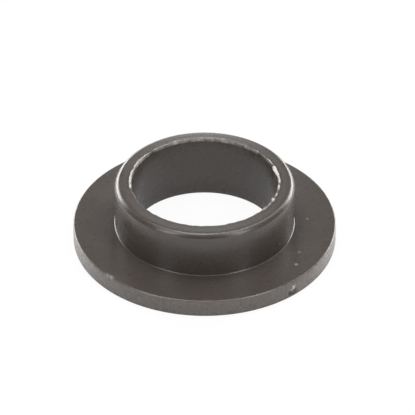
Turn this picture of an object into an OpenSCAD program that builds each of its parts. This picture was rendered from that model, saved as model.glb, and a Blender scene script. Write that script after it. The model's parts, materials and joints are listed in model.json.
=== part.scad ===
// Flanged sleeve bearing, moulded in one piece from dark grey plastic.
// All sizes are in millimetres. The origin is on the bore's axis, in the flange's underside.
// +Z runs from the flange to the sleeve's nose, and angles count from +X towards +Y.

/* [Bore] */
// Diameter of the bore that the shaft runs in
bore_d = 12.7; // [10:0.1:14]
// Chamfer where the bore opens in the flange's underside
bore_chamfer = 0.12; // [0.05:0.01:0.5]

/* [Sleeve] */
// Diameter of the sleeve that sits in the housing
sleeve_d = 15.6; // [15:0.1:18.5]
// Length over all, from the flange's underside to the nose face
length = 5.84; // [4:0.01:14]
// How far the rounded lead-in at the nose reaches in from the sleeve's wall
lead_in_w = 0.52; // [0.3:0.01:0.54]
// How far the rounded lead-in reaches down from the nose face
lead_in_h = 0.54; // [0.52:0.01:1.5]
// Radius of the fillet at the sleeve's foot
foot_r = 0.4; // [0.08:0.01:0.6]

/* [Flange] */
// Diameter of the flange
flange_d = 22.9; // [19:0.1:34]
// Thickness of the flange
flange_t = 1.6; // [1.3:0.05:2.4]
// Radius of the flange's upper edge
upper_edge_r = 0.12; // [0.05:0.01:0.4]
// Radius of the flange's lower edge
lower_edge_r = 0.1; // [0.05:0.01:0.4]

/* [Moulding marks] */
// Tallest that the flash round the bore's mouth stands above the nose face
flash_h = 0.24; // [0.05:0.01:0.4]
// Width of the flash where it leaves the nose face
flash_w = 0.22; // [0.1:0.01:0.4]
// Where the gate scar lies on the rim
gate_angle = -48.5; // [-180:0.5:180]
// Width of the gate scar along the rim
gate_w = 0.85; // [0.6:0.05:2]
// Height of the gate scar's top above the flange's underside
gate_top = 0.7; // [0.6:0.05:1.2]
// Height of the gate scar's foot above the flange's underside
gate_foot = 0.2; // [0.15:0.01:0.4]
// Depth of the gate scar below the rim
gate_depth = 0.12; // [0.05:0.01:0.3]
// Width of the torn nib that is left hanging in the gate scar
gate_nib_w = 0.26; // [0.1:0.01:0.4]
// Height of the torn nib
gate_nib_h = 0.15; // [0.08:0.01:0.3]
// Radius of the tear in the lower corner of the gate scar
gate_tear_r = 0.22; // [0.14:0.01:0.28]
// Where the flange's upper edge is nicked
nick_angle = -135; // [-180:0.5:180]
// Width of the nick along the edge
nick_w = 0.4; // [0.2:0.05:0.8]
// Depth of the nick below the rounded edge
nick_depth = 0.06; // [0.03:0.01:0.15]

/* [Hidden] */
$fn = 128;
plastic = [0.22, 0.21, 0.2];
bore_r = bore_d / 2;
sleeve_r = sleeve_d / 2;
flange_r = flange_d / 2;
// How far a cutting shape runs past the face that it cuts
over = 1;
// The lead-in is an arc that leaves the sleeve's wall smoothly and meets the nose face at an edge
lead_in_r = (lead_in_w * lead_in_w + lead_in_h * lead_in_h) / (2 * lead_in_w);
// Where the flash dips between its crests: the middle and the span of each dip in degrees,
// and the share of flash_h that is left at its lowest
flash_dips = [
    [-82, 132, 0.12],
    [-13, 18, 0.3],
    [4, 12, 0.55],
    [28, 26, 0.35],
    [54, 22, 0.4],
    [76, 20, 0.5],
    [100, 24, 0.3],
    [123, 20, 0.45],
    [149, 30, 0.35],
    [178, 26, 0.5],
    [203, 22, 0.3],
];

// Removes a right-angled corner that points to +X and the given side, down to an arc of radius r
module rounded_corner(r, side) {
    translate([-r, -side * r])
        difference() {
            translate([0, side > 0 ? 0 : -r - over])
                square(r + over);
            circle(r);
        }
}

// Half section of the flange with its two rounded edges
module flange_section() {
    difference() {
        square([flange_r, flange_t]);
        translate([flange_r, flange_t])
            rounded_corner(upper_edge_r, 1);
        translate([flange_r, 0])
            rounded_corner(lower_edge_r, -1);
    }
}

// Half section of the sleeve with its lead-in
module sleeve_section() {
    square([sleeve_r, length - lead_in_h]);
    square([sleeve_r - lead_in_w, length]);
    intersection() {
        translate([sleeve_r - lead_in_r, length - lead_in_h])
            circle(lead_in_r);
        square([sleeve_r, length]);
    }
}

// Section of the fillet in the corner between the sleeve's wall and the flange
module foot_section() {
    translate([sleeve_r, flange_t])
        difference() {
            square(foot_r);
            translate([foot_r, foot_r])
                circle(foot_r);
        }
}

module moulded_form() {
    rotate_extrude() {
        flange_section();
        sleeve_section();
        foot_section();
    }
}

// Cuts one dip into the flash, deepest at its middle
module flash_dip(middle, span, left) {
    half_chord = (bore_r + flash_w) * sin(span / 2);
    depth = (1 - left) * flash_h;
    dip_r = (half_chord * half_chord + depth * depth) / (2 * depth);
    rotate([0, 0, middle])
        translate([0, 0, length + left * flash_h + dip_r])
            rotate([0, 90, 0])
                cylinder(r = dip_r, h = sleeve_r);
}

// Ragged flash that stands up round the bore's mouth
module bore_flash() {
    difference() {
        rotate_extrude()
            polygon([
                [bore_r - flash_w, length - flash_w],
                [bore_r + flash_w, length - flash_w],
                [bore_r + flash_w, length],
                [bore_r, length + flash_h],
                [bore_r - flash_w, length + flash_h],
            ]);
        for (dip = flash_dips)
            flash_dip(dip[0], dip[1], dip[2]);
    }
}

// The bore and the chamfer at its foot, ready to be cut
module bore_cut() {
    translate([0, 0, -over])
        cylinder(r = bore_r, h = length + flash_h + 2 * over);
    translate([0, 0, -bore_chamfer])
        cylinder(r1 = bore_r + 2 * bore_chamfer, r2 = bore_r, h = 2 * bore_chamfer);
}

// The torn nib of plastic that hangs from the gate scar's top
module gate_nib() {
    translate([0, -gate_nib_w / 2, gate_top - gate_nib_h])
        cube([flange_r, gate_nib_w, gate_nib_h]);
}

// What is missing from the rim where the gate was torn off
module gate_cut() {
    rotate([0, 0, gate_angle]) {
        difference() {
            translate([flange_r - gate_depth, -gate_w / 2, gate_foot])
                cube([over, gate_w, gate_top - gate_foot]);
            gate_nib();
        }
        translate([flange_r, gate_tear_r - gate_w / 2, gate_foot + gate_tear_r / 2])
            sphere(gate_tear_r);
    }
}

// A shallow round nick in the flange's rounded upper edge
module edge_nick() {
    nick_r = (nick_w * nick_w / 4 + nick_depth * nick_depth) / (2 * nick_depth);
    edge_inset = upper_edge_r * (sqrt(2) - 1);
    rotate([0, 0, nick_angle])
        translate([flange_r, 0, flange_t])
            rotate([0, -45, 0])
                translate([nick_r - nick_depth - edge_inset, 0, 0])
                    sphere(nick_r);
}

module flanged_sleeve() {
    color(plastic)
        difference() {
            union() {
                moulded_form();
                bore_flash();
            }
            bore_cut();
            gate_cut();
            edge_nick();
        }
}

flanged_sleeve();
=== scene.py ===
import json
import math

import bpy
import numpy as np
from bpy.props import FloatProperty, FloatVectorProperty, IntProperty, PointerProperty
from mathutils import Euler, Matrix, Vector


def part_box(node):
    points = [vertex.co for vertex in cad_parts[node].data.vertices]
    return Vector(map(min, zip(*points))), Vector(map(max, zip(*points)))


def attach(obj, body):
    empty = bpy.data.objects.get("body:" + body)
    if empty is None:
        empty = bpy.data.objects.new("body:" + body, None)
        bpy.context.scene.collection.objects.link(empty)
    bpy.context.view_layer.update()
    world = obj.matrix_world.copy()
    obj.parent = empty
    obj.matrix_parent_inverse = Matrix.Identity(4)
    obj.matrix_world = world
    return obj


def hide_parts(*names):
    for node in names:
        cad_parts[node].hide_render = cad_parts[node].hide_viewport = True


bl_info = {
    "name": "Flanged Sleeve Bearing",
    "version": (1, 0, 0),
    "blender": (4, 5, 0),
    "location": "3D View > Sidebar > Bearing",
    "description": "Dresses a moulded flanged sleeve bearing and sets its studio stage",
    "category": "Add Mesh",
}

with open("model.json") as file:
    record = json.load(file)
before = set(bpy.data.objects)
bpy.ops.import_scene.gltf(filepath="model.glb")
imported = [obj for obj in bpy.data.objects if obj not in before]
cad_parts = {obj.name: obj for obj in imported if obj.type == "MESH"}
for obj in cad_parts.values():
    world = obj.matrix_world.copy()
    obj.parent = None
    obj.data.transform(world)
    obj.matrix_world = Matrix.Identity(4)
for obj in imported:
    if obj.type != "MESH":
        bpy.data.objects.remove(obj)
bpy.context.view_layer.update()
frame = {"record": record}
MM = 0.001
NODE = "flanged_sleeve"
MOUNTS = {mount["name"]: mount for mount in frame["record"]["mounts"]}


def bore_end(side):
    """Height of the bore wall's end, at the foot for side -1 and at the nose for side 1."""
    bore = MOUNTS["bore"]
    return bore["pos_m"][2] + side * bore["dims"]["length_mm"] * MM / 2


HIGHEST_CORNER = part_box(NODE)[1]
BORE_R = MOUNTS["bore"]["dims"]["r_mm"] * MM
SLEEVE_R = MOUNTS["sleeve"]["dims"]["r_mm"] * MM
FLANGE_R = HIGHEST_CORNER.x
FLANGE_T = MOUNTS["shoulder_face"]["pos_m"][2]
BORE_CHAMFER = bore_end(-1)
NOSE_Z = bore_end(1)
FLASH_TOP = HIGHEST_CORNER.z


def length(name, description, default):
    """A length that a user may change, in metres."""
    return FloatProperty(name=name, description=description, default=default, min=0.0,
                         unit="LENGTH", precision=5)


def turn(name, description, default):
    """An angle that a user may change. Its default is in degrees, and places count from +X towards +Y."""
    return FloatProperty(name=name, description=description, default=math.radians(default), unit="ROTATION")


def share(name, description, default):
    """A value that a user may change, from nothing to the whole."""
    return FloatProperty(name=name, description=description, default=default, min=0.0, max=1.0,
                         subtype="FACTOR")


def colour(name, description, default):
    """A colour that a user may change, with linear values."""
    return FloatVectorProperty(name=name, description=description, default=default, min=0.0, max=1.0,
                               size=3, subtype="COLOR")


class BearingForm(bpy.types.PropertyGroup):
    """Sizes of the moulded form, its flash and its marks"""
    lead_in_w: length("Lead-in width", "How far the lead-in reaches in from the sleeve's wall", 0.52 * MM)
    lead_in_h: length("Lead-in height", "How far the lead-in reaches down from the nose face", 0.54 * MM)
    foot_r: length("Foot radius", "Radius of the fillet at the sleeve's foot", 0.1 * MM)
    upper_edge_r: length("Upper edge", "Radius of the flange's upper edge", 0.12 * MM)
    lower_edge_r: length("Lower edge", "Radius of the flange's lower edge", 0.1 * MM)
    flash_w: length("Flash width", "Width of the flash at its root on the nose face", 0.22 * MM)
    flash_lean: length("Flash lean", "How far the flash leans to and fro across the bore's edge", 0.03 * MM)
    flap: length("Flap", "How far the bent flap of flash reaches in over the bore", 0.22 * MM)
    flap_angle: turn("Flap angle", "Where the flash is bent in over the bore", 13.5)
    flap_span: turn("Flap span", "How much of the mouth the bent flap takes", 20.0)
    gate_angle: turn("Gate angle", "Where the gate scar lies on the rim", -48.5)
    gate_w: length("Gate width", "Width of the gate scar along the rim", 0.85 * MM)
    gate_top: length("Gate top", "Height of the gate scar's top above the flange's underside", 0.7 * MM)
    gate_foot: length("Gate foot", "Height of the gate scar's foot above the flange's underside", 0.2 * MM)
    gate_depth: length("Gate depth", "Depth of the gate scar below the rim", 0.12 * MM)
    gate_nib_w: length("Gate nib width", "Width of the torn nib in the gate scar", 0.26 * MM)
    gate_nib_h: length("Gate nib height", "Height of the torn nib in the gate scar", 0.15 * MM)
    gate_tear_r: length("Gate tear", "Radius of the tear in the gate scar's lower corner", 0.22 * MM)
    nick_angle: turn("Nick angle", "Where the flange's upper edge is nicked", -135.0)
    nick_w: length("Nick width", "Width of the nick along the edge", 0.4 * MM)
    nick_depth: length("Nick depth", "Depth of the nick below the rounded edge", 0.03 * MM)
    rim_scuff: share("Rim scuff", "How scuffed the flange's rim is all round", 0.1)
    # Painted light: the rim is painted paler at its left and right, where light falls on it
    side_painted_light: share("Side painted light", "How much more scuffed the rim is at its left and right", 0.3)
    segments: IntProperty(name="Segments", description="Columns of faces round the axis", default=880,
                          min=64)
    seed: IntProperty(name="Seed", description="Seed of the flash's raggedness", default=7)


class BearingFinish(bpy.types.PropertyGroup):
    """Colours and gloss of the moulded plastic"""
    plastic: colour("Plastic", "Colour of the moulded plastic", (0.053, 0.044, 0.038))
    plastic_light: colour("Light plastic", "Colour of the plastic's lighter clouds", (0.061, 0.051, 0.044))
    # Pale colour of torn, bent or rubbed plastic, also used for the painted light on the rim's left and
    # right
    pale_colour: colour("Bruised plastic", "Colour where it was torn, bent or rubbed", (0.60, 0.55, 0.51))
    # Colour of the painted shade that darkens the gate scar's pocket and a strip beside it
    painted_shade: colour("Painted shade", "Colour of the grime in torn hollows", (0.012, 0.010, 0.009))
    roughness: share("Roughness", "Roughness of the moulded skin", 0.28)
    torn_roughness: share("Torn roughness", "Roughness of torn plastic", 0.55)
    grain: share("Grain", "Strength of the fine grain of the skin", 0.25)
    speck_strength: share("Specks", "How pale the small specks are", 0.35)


class StudioStage(bpy.types.PropertyGroup):
    """Values of the floor, the plain light and the camera"""
    floor_r: length("Floor radius", "Radius of the white floor", 0.6)
    world_light: share("World light", "Strength of the plain light from all round", 0.08)
    floor_white: share("Floor white", "How much of the floor shows plain white, over its own shade", 0.93)
    floor_mirrored: share("Floor mirrored", "How much of the floor's plain white shows in reflections", 0.2)
    elevation: turn("Camera elevation", "Angle of the camera above the floor", 36.36)
    roll: turn("Camera roll", "How far the camera leans to the right", 0.19)
    distance: length("Camera distance", "Distance from the camera to the bearing", 0.386)
    lens: FloatProperty(name="Lens", description="Focal length in millimetres", default=383.0, unit="CAMERA")
    aim_right: length("Aim right", "How far right of the origin the camera aims", 0.2518 * MM)
    aim_up: length("Aim up", "How far above the origin the camera aims, across its view", 2.508 * MM)


def straight(start, end, steps):
    """Points along a straight stretch of the section, as rows of radius and height."""
    return np.linspace(start, end, steps + 1)


def arc(centre, radius, start, end, steps):
    """Points along an arc of the section, from one angle to another in degrees."""
    bend = np.radians(np.linspace(start, end, steps + 1))
    return np.column_stack((centre[0] + radius * np.cos(bend), centre[1] + radius * np.sin(bend)))


def section(form):
    """The bearing's half section as named stretches, from the bore's foot out and round to the bore again.

    The last number of each stretch is how many faces it gets.
    """
    lead_r = (form.lead_in_w ** 2 + form.lead_in_h ** 2) / (2 * form.lead_in_w)
    lead_end = math.degrees(math.asin(form.lead_in_h / lead_r))
    upper_r, lower_r, foot_r = form.upper_edge_r, form.lower_edge_r, form.foot_r
    flash_root, flash_tip = BORE_R + form.flash_w, BORE_R + form.flash_w / 5
    edge_band = FLANGE_R - 4 * upper_r
    return {
        "underside": straight((BORE_R + BORE_CHAMFER, 0), (FLANGE_R - lower_r, 0), 3),
        "lower_edge": arc((FLANGE_R - lower_r, lower_r), lower_r, -90, 0, 4),
        "rim": straight((FLANGE_R, lower_r), (FLANGE_R, FLANGE_T - upper_r), 22),
        "upper_edge": arc((FLANGE_R - upper_r, FLANGE_T - upper_r), upper_r, 0, 90, 7),
        "flange_edge": straight((FLANGE_R - upper_r, FLANGE_T), (edge_band, FLANGE_T), 5),
        "flange_top": straight((edge_band, FLANGE_T), (SLEEVE_R + foot_r, FLANGE_T), 3),
        "foot": arc((SLEEVE_R + foot_r, FLANGE_T + foot_r), foot_r, 270, 180, 8),
        "wall": straight((SLEEVE_R, FLANGE_T + foot_r), (SLEEVE_R, NOSE_Z - form.lead_in_h), 4),
        "lead_in": arc((SLEEVE_R - lead_r, NOSE_Z - form.lead_in_h), lead_r, 0, lead_end, 14),
        "nose_face": straight((SLEEVE_R - form.lead_in_w, NOSE_Z), (flash_root, NOSE_Z), 3),
        "flash_outside": straight((flash_root, NOSE_Z), (flash_tip, NOSE_Z), 5),
        "flash_inside": straight((flash_tip, NOSE_Z), (BORE_R, NOSE_Z - form.flash_w), 6),
        "bore_wall": straight((BORE_R, NOSE_Z - form.flash_w), (BORE_R, BORE_CHAMFER), 5),
        "bore_chamfer": straight((BORE_R, BORE_CHAMFER), (BORE_R + BORE_CHAMFER, 0), 2),
    }


def bump(distance, width):
    """1 at no distance, falling smoothly to 0 at half the width."""
    return np.clip(1 - (2 * distance / width) ** 2, 0, None) ** 1.5


def around(angles, middle):
    """Signed angle from the middle, in the range of half a turn each way."""
    return (angles - middle + math.pi) % (2 * math.pi) - math.pi


def ragged(angles, seed, slowest, fastest):
    """Smooth unevenness round the axis, about -1 to 1, that closes on itself."""
    draw = np.random.RandomState(seed)
    total = np.zeros_like(angles)
    for waves in range(slowest, fastest + 1):
        total += draw.normal() * np.cos(waves * angles + draw.uniform(0, 2 * math.pi)) / waves ** 0.5
    return total / total.std() / 2


# Shares of the flash's full height that stand between its crests and where it is lowest
BETWEEN_CRESTS = 0.06
LOWEST_FLASH = 0.03
# How uneven the crests are, and how many waves round the axis their unevenness and the lean have
CREST_RAGGEDNESS = 0.3
CREST_WAVES = (25, 80)
LEAN_WAVES = (12, 60)
# Powers by which the flash rises and the flap bends in from the root to the tip
FLASH_TAPER = 1.2
FLAP_BEND = 2
# How fast the flash turns pale from its root up
FLASH_PALING = 2.5
# Crests of the flash: middle in degrees, span in degrees and share of the flash's full height
FLASH_CRESTS = (
    (94, 23, 0.8), (112, 28, 0.85), (127, 18, 0.6), (143, 15, 0.55), (153, 22, 1.0), (168, 18, 0.6),
    (178, 17, 0.85), (186, 9, 0.7), (-36, 10, 0.4), (-30, 9, 0.3), (-24, 6, 0.9), (-17, 9, 0.3),
    (-6, 12, 0.55), (3, 12, 0.7), (13, 20, 1.0), (19, 8, 0.9), (30, 20, 0.35), (48, 13, 0.55),
    (54, 9, 0.8), (64, 15, 0.6), (75, 17, 0.85), (84, 10, 0.5),
)


def flash_share(angles, seed):
    """How tall the flash stands round the axis, as a share of its full height."""
    rise = np.full_like(angles, BETWEEN_CRESTS)
    for middle, span, height in FLASH_CRESTS:
        rise = np.maximum(rise, height * bump(around(angles, math.radians(middle)), math.radians(span)))
    return np.clip(rise * (1 + CREST_RAGGEDNESS * ragged(angles, seed, *CREST_WAVES)), LOWEST_FLASH, 1)


# How many columns of points stand close together at the gate scar and at the nick, how far they reach
# to each side in widths of the mark, and the angle that is kept free beside them
GATE_COLUMNS = 73
GATE_REACH = 1.2
NICK_COLUMNS = 25
NICK_REACH = 1
COLUMN_GAP = 0.002


def bearing_columns(form):
    """Angles of the mesh's columns, closer together at the gate scar and the nick."""
    plain = np.arange(form.segments) * 2 * math.pi / form.segments
    gate_half = GATE_REACH * form.gate_w / FLANGE_R
    nick_half = NICK_REACH * form.nick_w / FLANGE_R
    gate_stretch = form.gate_angle + np.linspace(-gate_half, gate_half, GATE_COLUMNS)
    nick_stretch = form.nick_angle + np.linspace(-nick_half, nick_half, NICK_COLUMNS)
    for stretch in (gate_stretch, nick_stretch):
        beside = np.abs(around(plain, stretch.mean())) > np.ptp(stretch) / 2 + COLUMN_GAP
        plain = np.concatenate((plain[beside], stretch))
    return np.sort(plain % (2 * math.pi))


def soft_box(along, up, box, soft):
    """1 inside a box of (left, right, foot, top), falling to 0 over a soft border."""
    left, right, foot, top = box
    sides = np.clip(np.minimum(along - left, right - along) / soft + 0.5, 0, 1)
    return sides * np.clip(np.minimum(up - foot, top - up) / soft + 0.5, 0, 1)


# Widths of the soft borders of the gate scar's pocket, of its nib and of the marks beside it
POCKET_BORDER = 0.1 * MM
NIB_BORDER = 0.06 * MM
MARK_BORDER = 0.12 * MM
# How much of the pocket's depth the nib fills, and how pale it is
NIB_FILL = 0.8
NIB_PALENESS = 0.5
# Pale (+) marks, and dark marks (-) of painted shade, at the gate scar, in millimetres: the middle along the
# rim and up it, the width and the height, then the strength
GATE_MARKS = (
    (0.12, 0.93, 0.32, 0.42, 1.0),
    (-0.12, 0.78, 0.42, 0.14, 0.55),
    (0.8, 0.85, 0.16, 0.42, 0.4),
    (0.58, 0.85, 0.14, 0.6, -0.5),
)


def gate_scar(form, angles, z):
    """How far the rim is torn in at the gate scar, how pale it is and how much painted shade darkens its
    pocket.
    """
    along = around(angles, form.gate_angle)[None, :] * FLANGE_R
    half = form.gate_w / 2
    pocket = soft_box(along, z, (-half, half, form.gate_foot, form.gate_top), POCKET_BORDER)
    nib_box = (-form.gate_nib_w / 2, form.gate_nib_w / 2, form.gate_top - form.gate_nib_h, form.gate_top)
    nib = soft_box(along, z, nib_box, NIB_BORDER)
    tear_along = form.gate_tear_r - half
    tear_z = form.gate_foot + form.gate_tear_r / 2
    tear = form.gate_tear_r ** 2 - (along - tear_along) ** 2 - (z - tear_z) ** 2
    depth = np.maximum(form.gate_depth * pocket * (1 - NIB_FILL * nib), np.sqrt(np.clip(tear, 0, None)))
    # Painted shade: the pocket round the nib is darkened as if shaded
    paleness, painted_shade = NIB_PALENESS * nib, pocket * (1 - nib)
    for middle, height, width, tall, strength in GATE_MARKS:
        left, foot = (middle - width / 2) * MM, (height - tall / 2) * MM
        mark = soft_box(along, z, (left, left + width * MM, foot, foot + tall * MM), MARK_BORDER)
        paleness = np.maximum(paleness, mark * strength)
        painted_shade = np.maximum(painted_shade, -mark * strength)
    return depth, paleness, painted_shade


def raise_flash(form, names, angles, r, z):
    """Raise the ragged flash round the bore's mouth, and return how bruised it is."""
    paleness = np.zeros_like(r)
    rise = flash_share(angles, form.seed)
    lean = form.flash_lean * ragged(angles, form.seed + 1, *LEAN_WAVES)
    flap = form.flap * bump(around(angles, form.flap_angle), form.flap_span)
    outside = [ring for ring, name in enumerate(names) if name == "flash_outside"]
    inside = [ring for ring, name in enumerate(names) if name == "flash_inside"]
    reaches = [step / len(outside) for step in range(len(outside))]
    reaches += [1 - step / len(inside) for step in range(len(inside))]
    for ring, reach in zip(outside + inside, reaches):
        z[ring] += rise * reach ** FLASH_TAPER * (FLASH_TOP - NOSE_Z)
        r[ring] += lean * reach - flap * reach ** FLAP_BEND
        paleness[ring] = rise * min(1, FLASH_PALING * reach)
    return paleness


# Dents in the flange's upper edge: how far along the rim from the nick, and how wide, in nick widths
DENTS = ((0, 1.0), (1.15, 0.8))
# How far each dent and its bruise spread in widths of the dent, and how pale the bruise is
DENT_SPREAD = 1.4
BRUISE_SPREAD = 2.4
DENT_PALENESS = 0.35


def dent_edge(form, names, angles, r, z):
    """Dent the flange's upper edge at the nick and beside it, and return how bruised it is."""
    edge = np.isin(names, ("rim", "upper_edge", "flange_edge"))[:, None]
    paleness = np.zeros_like(r)
    for offset, width in DENTS:
        along = around(angles, form.nick_angle)[None, :] * FLANGE_R + offset * form.nick_w
        corner = np.sqrt(along ** 2 + (r - FLANGE_R) ** 2 + (z - FLANGE_T) ** 2)
        dent = bump(corner, DENT_SPREAD * width * form.nick_w) * edge
        r -= form.nick_depth * dent
        z -= form.nick_depth * dent
        pale = DENT_PALENESS * bump(corner, BRUISE_SPREAD * width * form.nick_w)
        paleness = np.maximum(paleness, pale * edge)
    return paleness


# How closely the painted light on the rim keeps to its left and right
SIDE_FOCUS = 6


def flanged_sleeve_mesh(form):
    """The moulded form as one closed mesh, with each point's paleness, painted light on the rim's sides
    included, and painted shade.
    """
    stretches = section(form)
    names = [name for name, points in stretches.items() for _ in points[:-1]]
    rings = np.concatenate([points[:-1] for points in stretches.values()])
    angles = bearing_columns(form)
    r = np.repeat(rings[:, :1], len(angles), 1)
    z = np.repeat(rings[:, 1:], len(angles), 1)

    paleness = raise_flash(form, names, angles, r, z)
    rim = np.isin(names, ("lower_edge", "rim", "upper_edge"))[:, None]
    torn, torn_bruise, painted_shade = gate_scar(form, angles, z)
    r -= torn * rim
    # The rim's paleness: even scuffing all round, plus painted light on its left and right
    scuff_and_side_light = form.rim_scuff + form.side_painted_light * np.cos(angles) ** SIDE_FOCUS
    paleness = np.maximum(paleness, np.maximum(torn_bruise, scuff_and_side_light) * rim)
    paleness = np.maximum(paleness, dent_edge(form, names, angles, r, z))

    points = np.stack((r * np.cos(angles), r * np.sin(angles), z), -1).reshape(-1, 3)
    rows, columns = r.shape
    row, column = np.meshgrid(np.arange(rows), np.arange(columns), indexing="ij")
    next_row, next_column = (row + 1) % rows, (column + 1) % columns
    faces = np.stack((row * columns + column, row * columns + next_column,
                      next_row * columns + next_column, next_row * columns + column), -1).reshape(-1, 4)
    mesh = bpy.data.meshes.new("flanged_sleeve_moulding")
    mesh.from_pydata(points.tolist(), [], faces.tolist())
    mesh.shade_smooth()
    # Paleness, with the painted light on the rim's sides, and the painted shade of the gate scar, as point
    # attributes
    for name, values in (("paleness", paleness), ("painted_shade", painted_shade * rim)):
        mask = mesh.attributes.new(name, "FLOAT", "POINT")
        mask.data.foreach_set("value", values.ravel().astype(np.float32))
    return mesh


def add_node(tree, kind, **settings):
    """A shader node with its settings, and with its inputs by name under inputs."""
    node = tree.nodes.new(kind)
    for name, value in settings.pop("inputs", {}).items():
        node.inputs[name].default_value = value
    for name, value in settings.items():
        setattr(node, name, value)
    return node


# Sizes of the plastic's unevenness: blotches in bruises, grain, patches of gloss and clouds of colour
BLOTCH_SIZE = 0.3 * MM
GRAIN_SIZE = 0.25 * MM
GLOSS_SIZE = 1.2 * MM
CLOUD_SIZE = 3.0 * MM
# How deep the grain is at full strength
GRAIN_DEPTH = 0.02 * MM
# How strongly a noise's finer layers show
NOISE_ROUGHNESS = 0.6
# The range that most of a noise lies in, and a narrower one that gives harder blotches
NOISE_RANGE = (0.3, 0.7)
HARD_RANGE = (0.35, 0.65)
# From nothing to the whole
WHOLE_RANGE = (0.0, 1.0)
# How much of a bruise the blotches leave, from the weakest to the strongest
BLOTCH_STRENGTH = (0.5, 1.1)
# How pale the plastic is where it starts to be rough, and where it is as rough as torn plastic
ROUGHENED = (0.1, 0.4)
# Shares of the skin's roughness at its smoothest and roughest patches
GLOSS_SHARES = (0.92, 1.08)
# Index of refraction of the plastic
PLASTIC_IOR = 1.6
# Shares of a speck's size at which it starts to fade and has gone
SPECK_FADE = (0.3, 1.7)
# Light specks in the skin: angle in degrees, then radius, height and size in millimetres
SPECKS = (
    (3, 8.99, 1.6, 0.08), (-28.2, 9.3, 1.6, 0.09), (-37.9, 10.02, 1.6, 0.12), (-33.4, 7.8, 2.42, 0.07),
)


def add_noise(tree, place, size, detail):
    """Noise of a given feature size and detail in the piece's own space, centred on a half."""
    noise = add_node(tree, "ShaderNodeTexNoise",
                     inputs={"Scale": 1 / size, "Detail": detail, "Roughness": NOISE_ROUGHNESS})
    tree.links.new(place, noise.inputs["Vector"])
    return noise.outputs["Fac"]


def remap(tree, value, given, wanted):
    """A value's given range turned into the wanted one, held at its ends."""
    limits = dict(zip(("From Min", "From Max", "To Min", "To Max"), (*given, *wanted)))
    node = add_node(tree, "ShaderNodeMapRange", inputs=limits)
    tree.links.new(value, node.inputs["Value"])
    return node.outputs["Result"]


def combine(tree, operation, first, second):
    """Two values put together by one maths step."""
    node = add_node(tree, "ShaderNodeMath", operation=operation)
    for socket, value in zip(node.inputs, (first, second)):
        if isinstance(value, float):
            socket.default_value = value
        else:
            tree.links.new(value, socket)
    return node.outputs["Value"]


def blend(tree, share_value, first, second):
    """A mix of two colours."""
    node = add_node(tree, "ShaderNodeMix", data_type="RGBA")
    tree.links.new(share_value, node.inputs["Factor"])
    for name, value in (("A", first), ("B", second)):
        if isinstance(value, bpy.types.NodeSocket):
            tree.links.new(value, node.inputs[name])
        else:
            node.inputs[name].default_value = (*value, 1)
    return node.outputs["Result"]


def speck_mask(tree, place):
    """Small round spots at the places in SPECKS."""
    mask = None
    for angle, radius, height, size in SPECKS:
        spot_place = Vector((radius, 0, height)) * MM
        spot_place.rotate(Euler((0, 0, math.radians(angle))))
        near = add_node(tree, "ShaderNodeVectorMath", operation="DISTANCE")
        tree.links.new(place, near.inputs[0])
        near.inputs[1].default_value = spot_place
        fade = [part * size * MM for part in SPECK_FADE]
        spot = remap(tree, near.outputs["Value"], fade, (1.0, 0.0))
        mask = spot if mask is None else combine(tree, "MAXIMUM", mask, spot)
    return mask


def moulded_plastic(finish):
    """Dark grey moulded plastic, paler and rougher where it was torn or bruised and where light is painted
    on the rim's left and right, and darker where shade is painted in the gate scar's pocket.
    """
    material = bpy.data.materials.new("moulded_plastic")
    material.use_nodes = True
    tree = material.node_tree
    tree.nodes.clear()
    link = tree.links.new
    output = add_node(tree, "ShaderNodeOutputMaterial")
    skin = add_node(tree, "ShaderNodeBsdfPrincipled", inputs={"IOR": PLASTIC_IOR})
    place = add_node(tree, "ShaderNodeTexCoord").outputs["Object"]
    # Paleness of torn, bent or rubbed plastic, with the painted light on the rim's left and right
    paleness = add_node(tree, "ShaderNodeAttribute", attribute_name="paleness").outputs["Fac"]
    # Painted shade of the gate scar's pocket and the strip beside it, read from the mesh
    painted_shade = add_node(tree, "ShaderNodeAttribute", attribute_name="painted_shade").outputs["Fac"]

    blotches = remap(tree, add_noise(tree, place, BLOTCH_SIZE, detail=2.0), HARD_RANGE, BLOTCH_STRENGTH)
    paleness = combine(tree, "MULTIPLY", paleness, blotches)
    specks = combine(tree, "MULTIPLY", speck_mask(tree, place), finish.speck_strength)
    pale = combine(tree, "MAXIMUM", paleness, specks)
    clouds = remap(tree, add_noise(tree, place, CLOUD_SIZE, detail=3.0), NOISE_RANGE, WHOLE_RANGE)

    tint = blend(tree, clouds, finish.plastic, finish.plastic_light)
    # Painted shade: darken the gate scar's pocket and the strip beside it
    tint = blend(tree, painted_shade, tint, finish.painted_shade)
    # Paler where bruised or torn, and painted light on the rim's left and right
    tint = blend(tree, pale, tint, finish.pale_colour)
    gloss = [part * finish.roughness for part in GLOSS_SHARES]
    rough = remap(tree, add_noise(tree, place, GLOSS_SIZE, detail=4.0), NOISE_RANGE, gloss)
    torn_rough = remap(tree, pale, ROUGHENED, (0.0, finish.torn_roughness))
    rough = combine(tree, "MAXIMUM", rough, torn_rough)
    grain = add_node(tree, "ShaderNodeBump", inputs={"Strength": finish.grain, "Distance": GRAIN_DEPTH})
    link(add_noise(tree, place, GRAIN_SIZE, detail=3.0), grain.inputs["Height"])

    link(tint, skin.inputs["Base Color"])
    link(rough, skin.inputs["Roughness"])
    link(grain.outputs["Normal"], skin.inputs["Normal"])
    link(skin.outputs["BSDF"], output.inputs["Surface"])
    return material


WHITE = (1, 1, 1, 1)
# The floor's own shade, which the bearing's shadow falls on
FLOOR_SHADE = (0.8, 0.8, 0.8, 1)
# How far under the bearing the floor lies, so that the two faces don't fight
FLOOR_GAP = 0.01 * MM
FLOOR_CORNERS = 64


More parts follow.
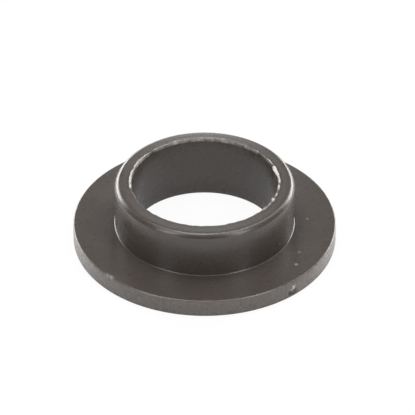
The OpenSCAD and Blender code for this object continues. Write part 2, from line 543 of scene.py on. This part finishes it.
def white_floor(stage):
    """A white floor that shows plain white to the camera, apart from a faint shadow."""
    material = bpy.data.materials.new("white_floor")
    material.use_nodes = True
    tree = material.node_tree
    tree.nodes.clear()
    link = tree.links.new
    output = add_node(tree, "ShaderNodeOutputMaterial")
    lit = add_node(tree, "ShaderNodeBsdfDiffuse", inputs={"Color": FLOOR_SHADE})
    glow = add_node(tree, "ShaderNodeEmission", inputs={"Color": WHITE, "Strength": 1.0})
    light_path = add_node(tree, "ShaderNodeLightPath")
    to_camera = combine(tree, "MULTIPLY", light_path.outputs["Is Camera Ray"], stage.floor_white)
    to_gloss = combine(tree, "MULTIPLY", light_path.outputs["Is Glossy Ray"], stage.floor_mirrored)
    seen = combine(tree, "ADD", to_camera, to_gloss)
    mix = add_node(tree, "ShaderNodeMixShader")
    link(seen, mix.inputs["Fac"])
    link(lit.outputs["BSDF"], mix.inputs[1])
    link(glow.outputs["Emission"], mix.inputs[2])
    link(mix.outputs["Shader"], output.inputs["Surface"])
    return material


class BEARING_OT_flanged_sleeve(bpy.types.Operator):
    """Build the moulded sleeve and flange in place of the plain solid"""
    bl_idname = "bearing.flanged_sleeve"
    bl_label = "Flanged Sleeve"

    def execute(self, context):
        """Make the piece with its plastic and hand it to the frame."""
        mesh = flanged_sleeve_mesh(context.scene.bearing_form)
        piece = bpy.data.objects.new("flanged_sleeve_moulding", mesh)
        context.collection.objects.link(piece)
        piece.data.materials.append(moulded_plastic(context.scene.bearing_finish))
        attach(piece, "root")
        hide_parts(NODE)
        return {"FINISHED"}


# Soft lamps: name, then azimuth, elevation, width and height in degrees, brightness against white and
# distance in metres
LAMPS = (
    ("near back low", 90, 28, 11, 12, 3.7, 0.06),
    ("near back high", 90, 46, 11, 12, 1.2, 0.06),
    ("back right", 62, 8, 20, 16, 8.0, 0.6),
    ("back middle", 105, 6, 16, 14, 4.4, 0.6),
    ("back left", 118, 8, 20, 16, 9.0, 0.6),
    ("side right low", 30, 6, 16, 14, 1.6, 0.6),
    ("side left low", 150, 6, 16, 14, 2.9, 0.6),
    ("side right", 43, 14, 20, 28, 8.5, 0.6),
    ("side left", 137, 14, 20, 28, 9.0, 0.6),
    ("side right high", 45, 34, 16, 14, 3.0, 0.6),
    ("side left high", 131, 34, 20, 14, 1.8, 0.6),
    ("upper back", 90, 38, 60, 24, 0.12, 0.6),
    ("high back", 90, 76, 50, 10, 3.8, 0.6),
    ("high right", 45, 52, 24, 18, 2.1, 0.6),
    ("top", 180, 86.5, 22, 14.5, 6.8, 0.6),
    ("top left", 180, 72, 30, 14, 2.0, 0.6),
    ("top right", 0, 72, 30, 14, 3.5, 0.6),
    ("front left", 221, 40, 14, 40, 5.5, 0.6),
    ("front right", 319, 40, 14, 40, 5.5, 0.6),
    ("front left low", 230, 6, 16, 16, 2.0, 0.6),
    ("front right low", 310, 8, 16, 18, 3.0, 0.6),
)


def add_lamps():
    """Rectangular soft lamps that all face the bearing."""
    for name, azimuth, elevation, width, height, brightness, distance in LAMPS:
        away = Vector((1, 0, 0))
        away.rotate(Euler((0, -math.radians(elevation), math.radians(azimuth))))
        lamp = bpy.data.lights.new(name, "AREA")
        lamp.shape = "RECTANGLE"
        lamp.size = 2 * distance * math.tan(math.radians(width) / 2)
        lamp.size_y = 2 * distance * math.tan(math.radians(height) / 2)
        lamp.energy = brightness * math.pi * lamp.size * lamp.size_y
        holder = bpy.data.objects.new(name, lamp)
        holder.location = away * distance
        holder.rotation_euler = away.to_track_quat("Z", "Y").to_euler()
        holder.visible_camera = False
        bpy.context.collection.objects.link(holder)


def add_floor(stage):
    """The round white floor that the bearing stands on."""
    mesh = bpy.data.meshes.new("floor")
    corners = np.linspace(0, 2 * math.pi, FLOOR_CORNERS, False)
    rim = [(stage.floor_r * math.cos(corner), stage.floor_r * math.sin(corner), 0) for corner in corners]
    mesh.from_pydata(rim, [], [range(FLOOR_CORNERS)])
    floor = bpy.data.objects.new("floor", mesh)
    floor.location.z = -FLOOR_GAP
    bpy.context.collection.objects.link(floor)
    mesh.materials.append(white_floor(stage))


def add_world(stage):
    """Plain white to the camera, and a soft plain light from all round."""
    world = bpy.data.worlds.new("studio")
    world.use_nodes = True
    tree = world.node_tree
    background = tree.nodes["Background"]
    background.inputs["Color"].default_value = WHITE
    light_path = add_node(tree, "ShaderNodeLightPath")
    strength = add_node(tree, "ShaderNodeMapRange", inputs={"To Min": stage.world_light, "To Max": 1.0})
    tree.links.new(light_path.outputs["Is Camera Ray"], strength.inputs["Value"])
    tree.links.new(strength.outputs["Result"], background.inputs["Strength"])
    bpy.context.scene.world = world


# Width of the camera's sensor in millimetres, and where its view starts in metres
SENSOR_WIDTH = 36
VIEW_START = 0.01


def add_camera(stage):
    """A long lens at the photograph's angle, in front of the bearing."""
    elevation = stage.elevation
    back = Vector((0, -math.cos(elevation), math.sin(elevation)))
    up = Vector((0, math.sin(elevation), math.cos(elevation)))
    camera = bpy.data.objects.new("camera", bpy.data.cameras.new("camera"))
    camera.data.lens = stage.lens
    camera.data.sensor_width = SENSOR_WIDTH
    camera.data.clip_start = VIEW_START
    camera.location = Vector((stage.aim_right, 0, 0)) + up * stage.aim_up + back * stage.distance
    tilt = Matrix.Rotation(math.pi / 2 - elevation, 3, "X") @ Matrix.Rotation(stage.roll, 3, "Z")
    camera.rotation_euler = tilt.to_euler()
    bpy.context.collection.objects.link(camera)
    bpy.context.scene.camera = camera


class BEARING_OT_stage(bpy.types.Operator):
    """Set the floor, the lights, the world and the camera"""
    bl_idname = "bearing.stage"
    bl_label = "Stage"

    def execute(self, context):
        """Add the floor, the lamps, the world and the camera, and set plain colours."""
        stage = context.scene.bearing_stage
        add_floor(stage)
        add_lamps()
        add_world(stage)
        add_camera(stage)
        context.scene.view_settings.view_transform = "Standard"
        return {"FINISHED"}


class BEARING_PT_panel(bpy.types.Panel):
    """Lists the bearing's operators and values"""
    bl_idname = "BEARING_PT_panel"
    bl_label = "Bearing"
    bl_space_type = "VIEW_3D"
    bl_region_type = "UI"
    bl_category = "Bearing"

    def draw(self, context):
        """Show a button for each operator, then each group's values."""
        for operator in OPERATORS:
            self.layout.operator(operator.bl_idname)
        for name, group in PROPERTY_GROUPS.items():
            values = getattr(context.scene, name)
            for value_name in group.__annotations__:
                self.layout.prop(values, value_name)


PROPERTY_GROUPS = {
    "bearing_form": BearingForm,
    "bearing_finish": BearingFinish,
    "bearing_stage": StudioStage,
}
OPERATORS = (BEARING_OT_flanged_sleeve, BEARING_OT_stage)
CLASSES = (*PROPERTY_GROUPS.values(), *OPERATORS, BEARING_PT_panel)


def register():
    """Register the classes and give the scene its groups of values."""
    for item in CLASSES:
        bpy.utils.register_class(item)
    for name, group in PROPERTY_GROUPS.items():
        setattr(bpy.types.Scene, name, PointerProperty(type=group))


def unregister():
    """Take the groups of values and the classes out again."""
    for name in PROPERTY_GROUPS:
        delattr(bpy.types.Scene, name)
    for item in reversed(CLASSES):
        bpy.utils.unregister_class(item)


def main():
    """Build the bearing and its stage."""
    register()
    bpy.ops.bearing.flanged_sleeve()
    bpy.ops.bearing.stage()


if __name__ == "__main__":
    main()
